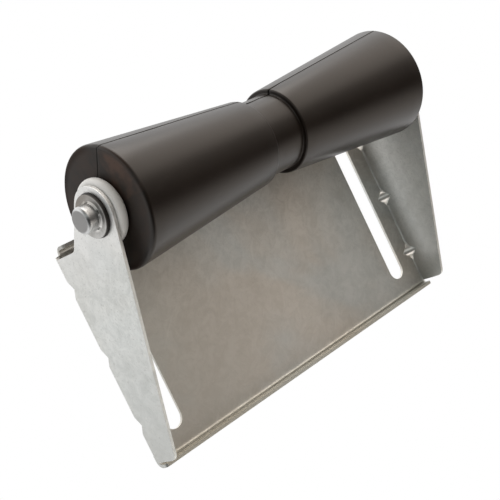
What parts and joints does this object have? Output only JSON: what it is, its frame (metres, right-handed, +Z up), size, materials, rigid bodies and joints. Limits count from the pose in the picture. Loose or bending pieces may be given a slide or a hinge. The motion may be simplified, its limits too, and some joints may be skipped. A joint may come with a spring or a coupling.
{
  "type": "boat trailer roller",
  "caption": "Wide V-shaped rubber keel roller on a steel shaft, held by a folded galvanised bracket with upright mounting slots.",
  "frame": {"origin": "centre of the bracket's flat back face", "axes": "+X along the roller's axis, +Y out of the back face towards what it is bolted to, +Z up"},
  "size_m": [0.3616, 0.1138, 0.2257],
  "materials": {
    "galvanised_steel": "satin zinc coat on folded sheet steel",
    "black_rubber": "satin moulded rubber",
    "zinc_steel": "bright zinc-plated bar",
    "nut_steel": "zinc-plated spring steel",
    "white_nylon": "white nylon"
  },
  "bodies": {
    "bracket": {"bracket": "galvanised_steel"},
    "shaft": {"shaft": "zinc_steel", "push_nut_left": "nut_steel", "push_nut_right": "nut_steel"},
    "roller": {"roller": "black_rubber"},
    "washer_left": {"washer_left": "white_nylon"},
    "washer_right": {"washer_right": "white_nylon"}
  },
  "joints": [
    {"name": "shaft_spin", "type": "hinge", "parent": "bracket", "child": "shaft", "pos_m": [0, -0.0694, 0.09465], "axis": [1, 0, 0], "continuous": true},
    {"name": "roller_spin", "type": "hinge", "parent": "shaft", "child": "roller", "pos_m": [0, -0.0694, 0.09465], "axis": [1, 0, 0], "continuous": true},
    {"name": "washer_left_spin", "type": "hinge", "parent": "shaft", "child": "washer_left", "pos_m": [0, -0.0694, 0.09465], "axis": [1, 0, 0], "continuous": true},
    {"name": "washer_right_spin", "type": "hinge", "parent": "shaft", "child": "washer_right", "pos_m": [0, -0.0694, 0.09465], "axis": [1, 0, 0], "continuous": true}
  ]
}
